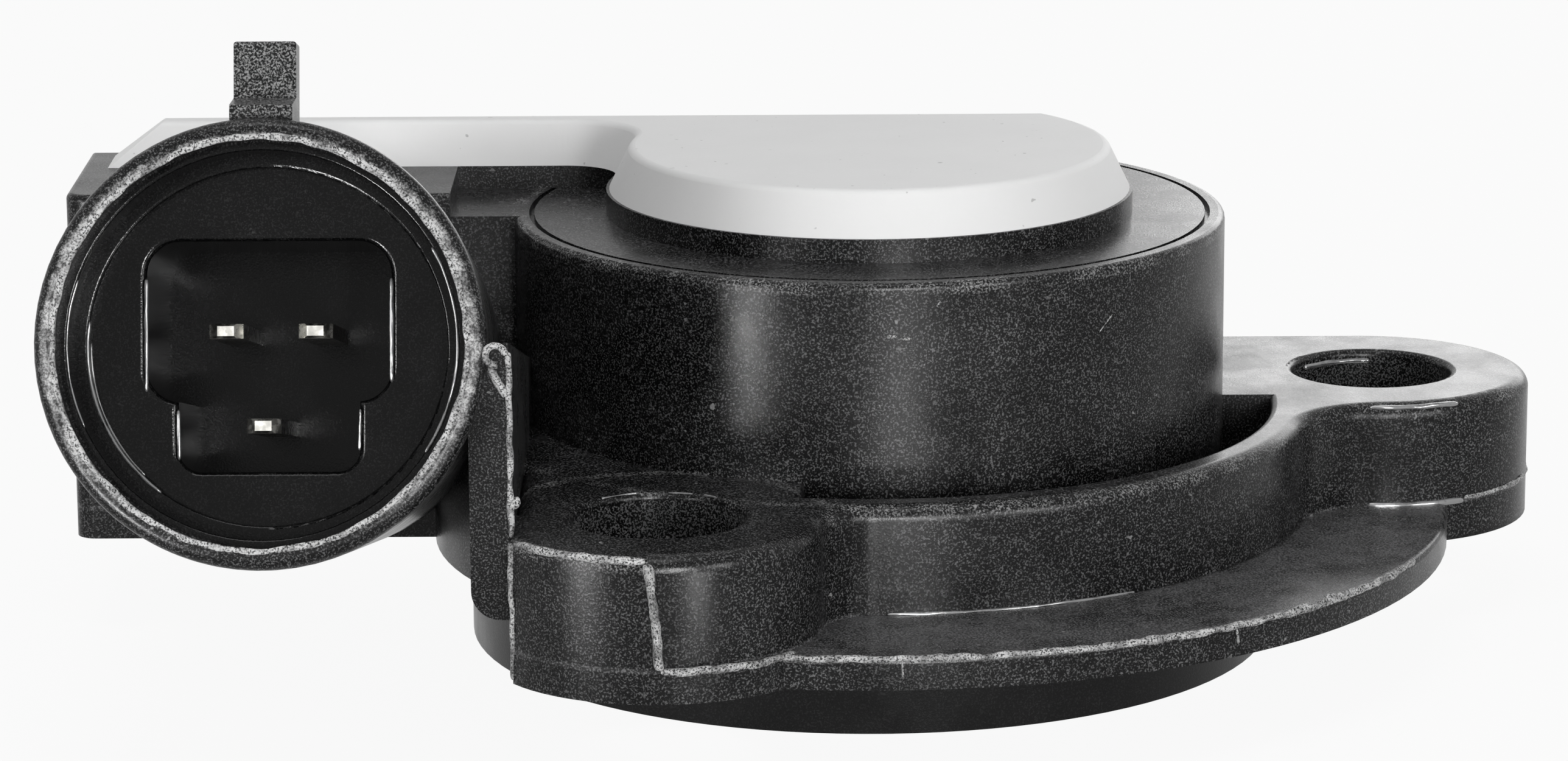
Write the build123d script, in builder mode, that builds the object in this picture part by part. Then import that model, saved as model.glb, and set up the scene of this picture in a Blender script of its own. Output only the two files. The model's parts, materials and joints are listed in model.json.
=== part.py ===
from build123d import *
from math import asin, cos, radians, sin, sqrt, tan
import os

# Throttle position sensor: a moulded housing with a round plug socket, a grey cover,
# and a sprung rotor inside that turns with the throttle shaft.
# Millimetres. The origin is the rotor's axis at the pilot's bottom face, with +Z up
# towards the cover and the plug socket facing -Y.

os.makedirs("parts", exist_ok=True)

# Heights, from the pilot's bottom face upwards
pilot_height = 4.2  # pilot's bottom face to the bolting pads
pad_step = 0.4  # bolting pads stand below the plate's underside
plate_thickness = 1.5
flange_height = 6.5  # plate's underside to the tops of the ears
body_height = 9.3  # tops of the ears to the body's rim
deck_step = 1.1  # body's rim to the deck under the cover
cover_height = 2.1

# Round body, flange and pilot
body_r = 17.0
body_wall = 2.3
moat_width = 2.35
moat_depth = 4.0
moat_start_angle = -101.0
moat_sweep_angle = 101.0
curb_width = 1.7
plate_overhang = 6.8  # base plate beyond the curb
pilot_r = 19.3
pilot_wall = 3.3
pilot_relief_height = 0.3  # relief groove starts this far below the bolting pads
pilot_relief_depth = 0.4
ceiling_thickness = 3.8  # below the body's rim
rim_line_inset = 0.7
rim_line_width = 0.25
rim_line_depth = 0.3
deck_margin = 0.15  # deck beyond the cover's foot

# Bolting ears
hole_r = 3.9
ear_1_wall = 3.45
ear_1_reach = 24.2
ear_1_angle = 246.3
ear_1_blend = 2.5
ear_2_wall = 3.8
ear_2_reach = 25.4
ear_2_angle = 12.4
ear_2_blend = 6.0
ear_edge_radius = 0.7
ear_lip = 0.35  # lower edge and left half of the first ear stand proud
ear_step_offset = 0.16  # left half's end beyond the hole's axis, at the ledge
ear_step_lean = 5.4
pad_inset = 1.35  # first ear's pad inside the ear's side
small_edge_radius = 0.3

# Plug socket: a barrel that leans up towards its mouth
socket_offset = 26.85  # rotor's axis to the barrel's axis, along -X
socket_tilt = 15.0
socket_length = 25.8
socket_r = 9.85
socket_draft = 1.5  # barrel narrows towards its root
socket_root_z = 13.3
mouth_r = 8.9
mouth_depth = 1.4
shroud_r = 8.5
shroud_depth = 4.0
step_r = 7.9
step_depth = 0.6
rim_edge_radius = 0.6
socket_step_radius = 0.15
key_width = 10.8
key_top = 4.7
key_step = -2.4
key_foot_width = 8.0
key_bottom = -5.5
key_depth = 10.0  # below the shroud's floor
key_corner = 1.5
key_foot_corner = 1.0
key_rim_radius = 0.3

# Lock tab on top of the barrel
tab_width = 2.75
tab_setback = 1.0
tab_ramp_length = 2.0
tab_ramp_start = 0.6
tab_ramp_end = 1.05
tab_height = 3.55
tab_thickness = 1.6
tab_root = 1.0
tab_edge_radius = 0.15

# Terminal block behind the barrel, and the gusset web beside it
block_front = -1.5
block_depth = 11.0
block_margin = 1.7  # block's left face beyond the barrel
block_corner = 1.0
block_back_corner = 0.4
block_edge_radius = 0.3
block_width = 18.4  # raised part, from the left face
web_thickness = 1.8
web_inset = 0.9  # web's left face inside the barrel's right side
web_foot = 7.4  # height of the web's rounded foot
web_foot_radius = 1.3
web_lead = 3.95  # web's front edge ahead of the first ear's hole

# Cover
cover_r = 12.45
cover_taper = 26.0
cover_back = 8.5  # straight back edge, at the foot
arm_width = 3.2
arm_margin = 1.3  # arm's end inside the block's left face
arm_end_slope = 52.0
arm_blend = 2.5
cover_edge_radius = 0.4
cover_plug_clearance = 0.15
cover_plug_depth = 1.6

# Solder window under the cover, and the terminals
window_side = 2.35  # window beyond the tails, along X
window_margin = 1.2  # window beyond the outer lanes, along Y
blade_width = 1.5
sheet = 0.64
blade_setback = 5.2  # blade tips behind the barrel's mouth
blade_pitch = 3.96
upper_blade_rise = 0.75
lower_blade_drop = 3.45
lower_blade_shift = 0.33  # along -X
terminal_bend = 1.4
strip_rise = 1.0  # strips above the card
first_lane = 2.4
lane_pitch = 1.8
tail_x = -5.8
tip_chamfer = 0.1
tip_side_chamfer = 0.38
solder_width = 0.4
solder_height = 0.7
solder_corner = 0.3
solder_taper = 20.0

# Card, rotor and bearing
card_thickness = 0.8
card_gap = 0.3  # card's edge inside the stop ribs
card_fit = 0.1
stake_r = 0.6
stake_head_r = 0.95
stake_head_height = 0.5
stake_inset = 1.0
stake_angles = (115.0, 200.0, 275.0)
track_thickness = 0.1
track_start_angle = -42.0
track_sweep_angle = 130.0
resistive_inset = 2.4  # track's middle inside the card's edge
resistive_width = 2.2
track_spacing = 3.3
collector_width = 1.6
pivot_r = 2.0
pivot_length = 4.5
pivot_end_gap = 0.3
running_clearance = 0.05
boss_wall = 1.6
boss_height = 2.0  # pivot boss below the ceiling
washer_thickness = 0.5
disc_gap = 1.1  # rotor disc's edge inside the stop ribs
rotor_disc_thickness = 2.0
hub_r = 5.6
hub_bottom = 0.8
slot_width = 4.6
slot_length = 8.0
slot_depth = 6.0
bearing_plate_thickness = 2.0
bearing_tube_wall = 1.9
bearing_tube_height = 2.5
seat_z = 5.0  # ledge that the bearing plate seats against
plate_fit = 0.05
seal_width = 1.5
seal_height = 1.2
lug_gap = 0.9  # stop lug inside the cavity's wall
lug_half_angle = 6.0
lug_angle = 150.0
travel_angle = 100.0  # rotor's working angle
stop_gap_angle = 2.0
rib_half_angle = 5.0
rib_reach = 1.4
rib_margin = 0.4  # stop ribs below the rotor's disc

# Return spring
wire = 1.0
wire_sides = 8  # flats on the wire, to keep its facets few
spring_gap = 0.6  # between the bearing tube and the coil
coil_gap = 0.15  # between turns
turn_count = 3.5
spring_lift = 0.4  # above the bearing plate
spring_headroom = 0.6  # below the rotor's disc
leg_length = 4.0
post_size = 1.2
leg_fit = 0.1

# Wiper fingers
finger_thickness = 0.2
finger_width = 0.6
finger_pitch = 0.9
finger_length = 4.5
finger_tip = 0.6
wiper_base_thickness = 0.3
wiper_base_length = 3.0
wiper_gap = 0.05

# Levels worked out from the heights
plate_z = pilot_height + pad_step
ledge_z = plate_z + plate_thickness
ear_z = plate_z + flange_height
rim_z = ear_z + body_height
deck_z = rim_z + deck_step
ceiling_z = rim_z - ceiling_thickness
card_z = ceiling_z - card_thickness
track_z = card_z - track_thickness
boss_z = ceiling_z - boss_height
washer_z = boss_z - running_clearance - washer_thickness
cover_z = deck_z + cover_height
coil_z = seat_z + spring_lift + wire / 2
spring_pitch = wire + coil_gap
coil_height = spring_pitch * turn_count
rotor_disc_z = coil_z + coil_height + wire / 2 + spring_headroom

# Radii and places worked out from the sizes
moat_r = body_r + moat_width
curb_r = moat_r + curb_width
plate_r = curb_r + plate_overhang
cavity_r = body_r - body_wall
seat_r = pilot_r - pilot_wall
ear_1_r = hole_r + ear_1_wall
ear_2_r = hole_r + ear_2_wall
boss_r = pivot_r + running_clearance + boss_wall
bearing_r = hub_r + running_clearance
bearing_tube_r = bearing_r + bearing_tube_wall
coil_r = bearing_tube_r + spring_gap + wire / 2
post_y = post_size / 2 - leg_length
rib_r = cavity_r - rib_reach
card_r = rib_r - card_gap
rotor_disc_r = rib_r - disc_gap
resistive_r = card_r - resistive_inset
collector_r = resistive_r - track_spacing
stake_circle_r = card_r - stake_inset
deck_r = cover_r + deck_margin
window_left = tail_x - blade_width - window_side
window_right = tail_x + window_side
window_front = first_lane - window_margin
window_back = first_lane + 2 * lane_pitch + window_margin
stakes = []
for stake_angle in stake_angles:
    stake_turn = radians(stake_angle)
    stakes.append((stake_circle_r * cos(stake_turn), stake_circle_r * sin(stake_turn)))
ear_1_x = ear_1_reach * cos(radians(ear_1_angle))
ear_1_y = ear_1_reach * sin(radians(ear_1_angle))
ear_2_x = ear_2_reach * cos(radians(ear_2_angle))
ear_2_y = ear_2_reach * sin(radians(ear_2_angle))
ears = [(ear_1_x, ear_1_y), (ear_2_x, ear_2_y)]
mid_turn = radians((ear_1_angle - 360 + ear_2_angle) / 2)  # midway between the ears
web_left = -socket_offset + socket_r - web_inset
web_right = web_left + web_thickness
web_front = ear_1_y - web_lead
block_left = -socket_offset - socket_r - block_margin
block_back = block_front + block_depth
arm_front = cover_back - arm_width
arm_left = block_left + arm_margin

# The socket's own frame: local Z points out of the mouth, local Y up across it
lean = radians(socket_tilt)
outward = Vector(0, -cos(lean), sin(lean))
across = Vector(0, sin(lean), cos(lean))
socket_root = Vector(-socket_offset, block_front, socket_root_z)
mouth = socket_root + outward * socket_length
mouth_plane = Plane(mouth, x_dir=(1, 0, 0), z_dir=outward)
side_plane = Plane(mouth, x_dir=outward * -1, z_dir=(1, 0, 0))
floor_depth = shroud_depth + step_depth


def nearest(shapes, point):
    """The shape whose centre lies closest to a point."""
    return shapes.sort_by_distance(Vector(*point))[0]


def ring_sector(inner_r, outer_r, start_angle, sweep_angle):
    """Adds part of a ring about the rotor's axis to the sketch that calls it."""
    with BuildLine() as outline:
        outer_arc = CenterArc((0, 0), outer_r, start_angle, sweep_angle)
        inner_arc = CenterArc((0, 0), inner_r, start_angle, sweep_angle)
        Line(outer_arc @ 0, inner_arc @ 0)
        Line(outer_arc @ 1, inner_arc @ 1)
    make_face(outline.edges())


def first_ear_outline():
    """The first ear's proud front outline, cut flush with the web on its left."""
    with BuildSketch(mode=Mode.PRIVATE) as outline:
        with Locations((ear_1_x, ear_1_y)):
            Circle(ear_1_r + ear_lip)
            Rectangle(4 * ear_1_r, 2 * ear_1_r, align=(Align.CENTER, Align.MIN), mode=Mode.SUBTRACT)
        with Locations((web_right, ear_1_y)):
            Rectangle(ear_1_r, 4 * ear_1_r, align=(Align.MAX, Align.CENTER), mode=Mode.SUBTRACT)
    return outline.sketch


# Terminals: a blade in the socket, a riser in the block, a strip on edge and a tail down to the card
strip_bottom = ceiling_z + strip_rise
strip_top = strip_bottom + blade_width


def make_terminal(blade_x, blade_rise, lane_y):
    """One stamped terminal, from its coined tip in the socket to its tail on the card."""
    tip = mouth + outward * -blade_setback + across * blade_rise
    half = sheet / 2
    with BuildPart() as terminal:
        with BuildSketch(Plane.YZ.offset(blade_x)):
            with BuildLine():
                sides = []
                for side in (1, -1):
                    start = tip + across * (side * half)
                    riser_y = lane_y - side * half
                    bend = start + outward * -((riser_y - start.Y) / cos(lean))
                    points = [(start.Y, start.Z), (bend.Y, bend.Z), (riser_y, strip_top)]
                    sides.append(FilletPolyline(*points, radius=terminal_bend - side * half))
                Line(sides[0] @ 0, sides[1] @ 0)
                Line(sides[0] @ 1, sides[1] @ 1)
            make_face()
        extrude(amount=blade_width / 2, both=True)
        tip_face = nearest(terminal.faces(), (blade_x, tip.Y, tip.Z))
        chamfer(tip_face.edges().filter_by(Axis.X, reverse=True), tip_side_chamfer)
        tip_face = nearest(terminal.faces(), (blade_x, tip.Y, tip.Z))
        chamfer(tip_face.edges().filter_by(Axis.X), tip_chamfer)
        with BuildSketch(Plane.XZ.offset(-lane_y)):
            with Locations((blade_x, strip_bottom)):
                Rectangle(tail_x - blade_x, blade_width, align=(Align.MIN, Align.MIN))
            with Locations((tail_x, ceiling_z)):
                Rectangle(blade_width, strip_top - ceiling_z, align=(Align.MAX, Align.MIN))
        extrude(amount=half, both=True)
    return terminal.part


blade_places = {
    "terminal_supply": (-socket_offset + blade_pitch / 2, upper_blade_rise, first_lane),
    "terminal_signal": (-socket_offset - lower_blade_shift, -lower_blade_drop, first_lane + lane_pitch),
    "terminal_ground": (-socket_offset - blade_pitch / 2, upper_blade_rise, first_lane + 2 * lane_pitch),
}
terminals = {}
for name, (blade_x, blade_rise, lane_y) in blade_places.items():
    terminals[name] = make_terminal(blade_x, blade_rise, lane_y)
    terminals[name].label = name
    export_step(terminals[name], f"parts/{name}.step")

# Housing: the one black moulding
with BuildPart() as housing:
    # Flange with its two ears, blended into the curb
    with BuildSketch(Plane.XY.offset(plate_z)) as flange_plan:
        with Locations((ear_1_x, ear_1_y)):
            Circle(ear_1_r)
        with Locations((ear_2_x, ear_2_y)):
            Circle(ear_2_r)
        with Locations((web_right, ear_1_y)):
            Rectangle(ear_1_r, 2 * ear_1_r, align=(Align.MAX, Align.CENTER), mode=Mode.SUBTRACT)
            Rectangle(ear_1_x - web_right, -ear_1_y, align=(Align.MIN, Align.MIN))
        Circle(curb_r)
        with Locations((ear_2_x, ear_2_y)):
            Rectangle(ear_2_x, 2 * ear_2_r, align=(Align.MAX, Align.CENTER))
        front_y = ear_2_y - ear_2_r
        back_y = ear_2_y + ear_2_r
        front_room = (ear_2_x**2 + front_y**2 - curb_r**2) / (2 * (curb_r + front_y))
        front_corner = nearest(flange_plan.vertices(), (sqrt(curb_r**2 - front_y**2), front_y, 0))
        fillet(front_corner, min(ear_2_blend, 0.98 * front_room))
        back_corner = nearest(flange_plan.vertices(), (sqrt(curb_r**2 - back_y**2), back_y, 0))
        fillet(back_corner, ear_1_blend)
        ear_turn = radians(ear_1_angle) + asin(ear_1_r / ear_1_reach)
        ear_corner = nearest(flange_plan.vertices(), (curb_r * cos(ear_turn), curb_r * sin(ear_turn), 0))
        fillet(ear_corner, ear_1_blend)
    extrude(amount=flange_height)
    top_edges = housing.faces().sort_by(Axis.Z)[-1].outer_wire().edges()
    fillet(top_edges, ear_edge_radius)

    # Base plate between the ears, with the first ear's lower edge and its sharp left half
    with BuildSketch(Plane.XY.offset(plate_z)):
        ring_sector(body_r - body_wall, plate_r, ear_1_angle - 360, 360 - ear_1_angle + ear_2_angle)
        add(first_ear_outline())
    extrude(amount=plate_thickness)
    plate_edge = nearest(housing.edges(), (plate_r * cos(mid_turn), plate_r * sin(mid_turn), ledge_z))
    fillet(plate_edge, small_edge_radius)
    with BuildPart(mode=Mode.PRIVATE) as ear_step:
        with BuildSketch(Plane.XY.offset(plate_z)):
            add(first_ear_outline())
        extrude(amount=flange_height)
        step_foot = (ear_1_x + ear_step_offset, ear_1_y, ledge_z)
        split(bisect_by=Plane(step_foot).rotated((0, 90 - ear_step_lean, 0)), keep=Keep.BOTTOM)
    add(ear_step.part)

    # Bolting pads, pilot and round body
    with BuildSketch(Plane.XY.offset(pilot_height)):
        with Locations((ear_1_x, ear_1_y)):
            Circle(ear_1_r - pad_inset)
        with Locations((ear_2_x, ear_2_y)):
            Circle(ear_2_r)
        Circle(pilot_r + pilot_relief_depth, mode=Mode.SUBTRACT)
    extrude(amount=pad_step)
    with BuildSketch():
        Circle(pilot_r)
    extrude(amount=pilot_height - pilot_relief_height)
    with BuildSketch():
        Circle(pilot_r - pilot_relief_depth)
    extrude(amount=plate_z)
    with BuildSketch(Plane.XY.offset(plate_z)):
        Circle(body_r)
    extrude(amount=rim_z - plate_z)
    fillet(nearest(housing.edges(), (0, -body_r, rim_z)), small_edge_radius)

    # Terminal block, with its bridge to the body
    with BuildSketch(Plane.XY.offset(plate_z)) as block_plan:
        with Locations((block_left, block_front)):
            Rectangle(block_width, block_depth, align=(Align.MIN, Align.MIN))
        left_corners = block_plan.vertices().group_by(Axis.X)[0].sort_by(Axis.Y)
        fillet(left_corners[0], block_corner)
        fillet(left_corners[1], block_back_corner)
    extrude(amount=deck_z - plate_z)
    block_top = housing.faces().sort_by(Axis.Z)[-1]
    fillet(block_top.edges().sort_by(Axis.X)[:-1], block_edge_radius)
    with BuildSketch(Plane.XY.offset(plate_z)):
        with Locations((0, block_front)):
            Rectangle(-block_left - block_width, block_depth, align=(Align.MAX, Align.MIN))
    extrude(amount=rim_z - plate_z)

    # Deck that the cover seats on
    with BuildSketch(Plane.XY.offset(rim_z)):
        Circle(deck_r)
        with Locations((block_left + block_width, arm_front)):
            Rectangle(-block_left - block_width, block_back - arm_front, align=(Align.MIN, Align.MIN))
        with Locations((0, block_back)):
            Rectangle(-2 * block_left, 4 * deck_r, align=(Align.CENTER, Align.MAX), mode=Mode.INTERSECT)
    extrude(amount=deck_step)

    # Barrel of the plug socket, with its draft, and its lock tab
    barrel_length = socket_length + socket_r * sin(lean)
    with Locations(mouth_plane.offset(-barrel_length)):
        barrel_root_r = socket_r - barrel_length * tan(radians(socket_draft))
        Cone(barrel_root_r, socket_r, barrel_length, align=(Align.CENTER, Align.CENTER, Align.MIN))
    fillet(nearest(housing.edges(), mouth + across * socket_r), rim_edge_radius)
    with BuildPart(mode=Mode.PRIVATE) as tab:
        with BuildSketch(side_plane):
            with BuildLine():
                tab_front = tab_setback + tab_ramp_length
                tab_back = tab_front + tab_thickness
                Polyline(
                    (tab_setback, socket_r - tab_root),
                    (tab_setback, socket_r + tab_ramp_start),
                    (tab_front, socket_r + tab_ramp_end),
                    (tab_front, socket_r + tab_height),
                    (tab_back, socket_r + tab_height),
                    (tab_back, socket_r - tab_root),
                    close=True,
                )
            make_face()
        extrude(amount=tab_width / 2, both=True)
        fillet(tab.faces().sort_by(Axis.Z)[-1].edges(), tab_edge_radius)
    add(tab.part)

    # Gusset web between the barrel and the first ear
    with BuildPart(mode=Mode.PRIVATE) as web:
        with BuildSketch(Plane.XZ.offset(-web_front)) as web_face:
            with Locations((web_left, web_foot)):
                Rectangle(web_thickness, rim_z - web_foot, align=(Align.MIN, Align.MIN))
            fillet(nearest(web_face.vertices(), (web_left, web_foot, 0)), web_foot_radius)
        extrude(amount=web_front - block_front - block_corner)
        split(bisect_by=Plane(mouth, z_dir=across), keep=Keep.BOTTOM)
    add(web.part)

    # Moat between the body and the curb
    with BuildSketch(Plane.XY.offset(ear_z)):
        ring_sector(body_r, moat_r, moat_start_angle, moat_sweep_angle)
    extrude(amount=-moat_depth, mode=Mode.SUBTRACT)
    curb_edge = nearest(housing.edges(), (moat_r * cos(mid_turn), moat_r * sin(mid_turn), ear_z))
    fillet(curb_edge, small_edge_radius)

    # Fine joint line round the body's rim
    with BuildSketch(Plane.XY.offset(rim_z)):
        Circle(body_r - rim_line_inset)
        Circle(body_r - rim_line_inset - rim_line_width, mode=Mode.SUBTRACT)
    extrude(amount=-rim_line_depth, mode=Mode.SUBTRACT)

    # Cavity for the works, open at the bottom, with the bearing plate's seat
    with BuildSketch():
        Circle(cavity_r)
    extrude(amount=ceiling_z, mode=Mode.SUBTRACT)
    with BuildSketch():
        Circle(seat_r)
    extrude(amount=seat_z, mode=Mode.SUBTRACT)

    # Upper pivot boss and the rotor's two stops
    with BuildSketch(Plane.XY.offset(boss_z)):
        Circle(boss_r)
    extrude(amount=boss_height)
    with BuildSketch(Plane.XY.offset(boss_z)):
        Circle(pivot_r + running_clearance)
    extrude(amount=pivot_length + running_clearance, mode=Mode.SUBTRACT)
    stop_offset = lug_half_angle + stop_gap_angle + rib_half_angle
    with BuildSketch(Plane.XY.offset(rotor_disc_z - rib_margin)):
        for rib_angle in (lug_angle - stop_offset, lug_angle + travel_angle + stop_offset):
            rib_start = rib_angle - rib_half_angle
            ring_sector(rib_r, cavity_r + body_wall / 2, rib_start, 2 * rib_half_angle)
    extrude(amount=ceiling_z - rotor_disc_z + rib_margin)

    # Stakes that hold the card, with their melted heads
    with BuildSketch(Plane.XY.offset(card_z)):
        with Locations(stakes):
            Circle(stake_r)
    extrude(amount=card_thickness)
    with BuildSketch(Plane.XY.offset(card_z)):
        with Locations(stakes):
            Circle(stake_head_r)
    extrude(amount=-stake_head_height)

    # Window over the card, for soldering the terminals' tails
    with BuildSketch(Plane.XY.offset(ceiling_z)):
        with Locations((window_left, window_front)):
            Rectangle(window_right - window_left, window_back - window_front, align=(Align.MIN, Align.MIN))
    extrude(amount=deck_z - ceiling_z, mode=Mode.SUBTRACT)

    # Bolt holes
    with BuildSketch(Plane.XY.offset(pilot_height)):
        with Locations(ears):
            Circle(hole_r)
    extrude(amount=ear_z - pilot_height, mode=Mode.SUBTRACT)
    for ear_x, ear_y in ears:
        fillet(nearest(housing.edges(), (ear_x, ear_y + hole_r, ear_z)), small_edge_radius)

    # Socket: lead-in, shroud, step and the keyed pocket round the blades
    with BuildSketch(mouth_plane):
        Circle(mouth_r)
    extrude(amount=-mouth_depth, mode=Mode.SUBTRACT)
    with BuildSketch(mouth_plane):
        Circle(shroud_r)
    extrude(amount=-shroud_depth, mode=Mode.SUBTRACT)
    with BuildSketch(mouth_plane):
        Circle(step_r)
    extrude(amount=-floor_depth, mode=Mode.SUBTRACT)
    with BuildSketch(mouth_plane.offset(-floor_depth)):
        with BuildSketch(mode=Mode.PRIVATE) as upper_key:
            with Locations((0, (key_top + key_step) / 2)):
                RectangleRounded(key_width, key_top - key_step, key_corner)
        with BuildSketch(mode=Mode.PRIVATE) as lower_key:
            with Locations((0, (key_top + key_bottom) / 2)):
                RectangleRounded(key_foot_width, key_top - key_bottom, key_foot_corner)
        add(upper_key.sketch)
        add(lower_key.sketch)
    extrude(amount=-key_depth, mode=Mode.SUBTRACT)
    floor_point = mouth - outward * floor_depth + across * ((key_top + step_r) / 2)
    fillet(nearest(housing.faces(), floor_point).inner_wires()[0].edges(), key_rim_radius)
    for step_edge_r, step_edge_depth in ((mouth_r, 0), (shroud_r, mouth_depth), (step_r, shroud_depth)):
        step_point = mouth - outward * step_edge_depth + across * step_edge_r
        fillet(nearest(housing.edges(), step_point), socket_step_radius)

    # The terminals are moulded in
    for terminal in terminals.values():
        add(terminal, mode=Mode.SUBTRACT)

housing.part.label = "housing"
export_step(housing.part, "parts/housing.step")

# Cover: a flat-backed disc with a narrow arm, tapered all round, and a plug for the window
def cover_outline(inset, end_inset):
    """The cover's outline, drawn in from its foot by an inset, and by another at the arm's end."""
    disc_r = cover_r - inset
    front = arm_front + inset
    with BuildSketch(mode=Mode.PRIVATE) as outline:
        Circle(disc_r)
        with Locations((arm_left + end_inset, front)):
            Rectangle(-arm_left - end_inset, arm_width, align=(Align.MIN, Align.MIN))
        with Locations((0, cover_back - inset)):
            Rectangle(-2 * block_left, 4 * cover_r, align=(Align.CENTER, Align.MAX), mode=Mode.INTERSECT)
        arm_corner = nearest(outline.vertices(), (-sqrt(disc_r**2 - front**2), front, 0))
        fillet(arm_corner, arm_blend + inset)
    return outline.sketch


with BuildPart() as cover:
    with BuildSketch(Plane.XY.offset(deck_z)):
        add(cover_outline(0, 0))
    top_inset = cover_height * tan(radians(cover_taper))
    top_end_inset = cover_height * tan(radians(arm_end_slope))
    with BuildSketch(Plane.XY.offset(cover_z)):
        add(cover_outline(top_inset, top_end_inset))
    loft(ruled=True)
    fillet(cover.faces().sort_by(Axis.Z)[-1].edges(), cover_edge_radius)
    with BuildSketch(Plane.XY.offset(deck_z)):
        with Locations((window_left + cover_plug_clearance, window_front + cover_plug_clearance)):
            Rectangle(
                window_right - window_left - 2 * cover_plug_clearance,
                window_back - window_front - 2 * cover_plug_clearance,
                align=(Align.MIN, Align.MIN),
            )
    extrude(amount=-cover_plug_depth)
cover.part.label = "cover"
export_step(cover.part, "parts/cover.step")

# Element card, staked to the ceiling, with its two printed tracks underneath
with BuildPart() as element_card:
    with BuildSketch(Plane.XY.offset(card_z)):
        Circle(card_r)
        Circle(boss_r + card_fit, mode=Mode.SUBTRACT)
        with Locations(stakes):
            Circle(stake_r + card_fit, mode=Mode.SUBTRACT)
    extrude(amount=card_thickness)
element_card.part.label = "element_card"
export_step(element_card.part, "parts/element_card.step")

with BuildPart() as resistive_track:
    with BuildSketch(Plane.XY.offset(track_z)):
        inner_r = resistive_r - resistive_width / 2
        ring_sector(inner_r, inner_r + resistive_width, track_start_angle, track_sweep_angle)
    extrude(amount=track_thickness)
resistive_track.part.label = "resistive_track"
export_step(resistive_track.part, "parts/resistive_track.step")

with BuildPart() as collector_track:
    with BuildSketch(Plane.XY.offset(track_z)):
        inner_r = collector_r - collector_width / 2
        ring_sector(inner_r, inner_r + collector_width, track_start_angle, track_sweep_angle)
    extrude(amount=track_thickness)
collector_track.part.label = "collector_track"
export_step(collector_track.part, "parts/collector_track.step")

# Solder round each tail, on top of the card
with BuildPart() as solder_joints:
    with BuildSketch(Plane.XY.offset(ceiling_z)):
        with Locations([(tail_x - blade_width / 2, place[2]) for place in blade_places.values()]):
            RectangleRounded(blade_width + 2 * solder_width, sheet + 2 * solder_width, solder_corner)
    extrude(amount=solder_height, taper=solder_taper)
    for terminal in terminals.values():
        add(terminal, mode=Mode.SUBTRACT)
solder_joints.part.label = "solder_joints"
export_step(solder_joints.part, "parts/solder_joints.step")

# Bearing plate that closes the underside and carries the rotor's hub and the spring's fixed leg
with BuildPart() as bearing_plate:
    with BuildSketch(Plane.XY.offset(seat_z)):
        Circle(seat_r - plate_fit)
    extrude(amount=-bearing_plate_thickness)
    with BuildSketch(Plane.XY.offset(seat_z)):
        Circle(bearing_tube_r)
    extrude(amount=bearing_tube_height)
    with BuildSketch(Plane.XY.offset(seat_z - bearing_plate_thickness)):
        Circle(bearing_r)
    extrude(amount=bearing_plate_thickness + bearing_tube_height, mode=Mode.SUBTRACT)
    with BuildSketch(Plane.XY.offset(seat_z - bearing_plate_thickness)):
        Circle(bearing_r + seal_width)
    extrude(amount=seal_height, mode=Mode.SUBTRACT)
    post_offset = wire / 2 + leg_fit + post_size / 2
    with BuildSketch(Plane.XY.offset(seat_z)):
        with Locations((coil_r - post_offset, post_y), (coil_r + post_offset, post_y)):
            Rectangle(post_size, post_size)
    extrude(amount=spring_lift + wire / 2)
bearing_plate.part.label = "bearing_plate"
export_step(bearing_plate.part, "parts/bearing_plate.step")

# Rubber seal round the hub
with BuildPart() as shaft_seal:
    with BuildSketch(Plane.XY.offset(seat_z - bearing_plate_thickness)):
        Circle(bearing_r + seal_width)
        Circle(bearing_r, mode=Mode.SUBTRACT)
    extrude(amount=seal_height)
shaft_seal.part.label = "shaft_seal"
export_step(shaft_seal.part, "parts/shaft_seal.step")

# Rotor: drive hub, wiper disc with its stop lug, shoulder and upper pivot
with BuildPart() as rotor:
    with BuildSketch(Plane.XY.offset(rotor_disc_z)):
        Circle(rotor_disc_r)
        ring_sector(hub_r, cavity_r - lug_gap, lug_angle - lug_half_angle, 2 * lug_half_angle)
        with Locations((-coil_r, 0)):
            Circle(wire / 2 + leg_fit, mode=Mode.SUBTRACT)
    extrude(amount=rotor_disc_thickness)
    with BuildSketch(Plane.XY.offset(hub_bottom)):
        Circle(hub_r)
    extrude(amount=rotor_disc_z - hub_bottom)
    with BuildSketch(Plane.XY.offset(rotor_disc_z)):
        Circle(boss_r)
    extrude(amount=washer_z - rotor_disc_z)
    with BuildSketch(Plane.XY.offset(rotor_disc_z)):
        Circle(pivot_r)
    extrude(amount=boss_z + pivot_length - pivot_end_gap - rotor_disc_z)
    with BuildSketch(Plane.XY.offset(hub_bottom)):
        Rectangle(slot_length, slot_width)
    extrude(amount=slot_depth, mode=Mode.SUBTRACT)
rotor.part.label = "rotor"
export_step(rotor.part, "parts/rotor.step")

# Thrust washer on the rotor's shoulder
with BuildPart() as thrust_washer:
    with BuildSketch(Plane.XY.offset(washer_z)):
        Circle(boss_r)
        Circle(pivot_r + running_clearance, mode=Mode.SUBTRACT)
    extrude(amount=washer_thickness)
thrust_washer.part.label = "thrust_washer"
export_step(thrust_washer.part, "parts/thrust_washer.step")

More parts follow.
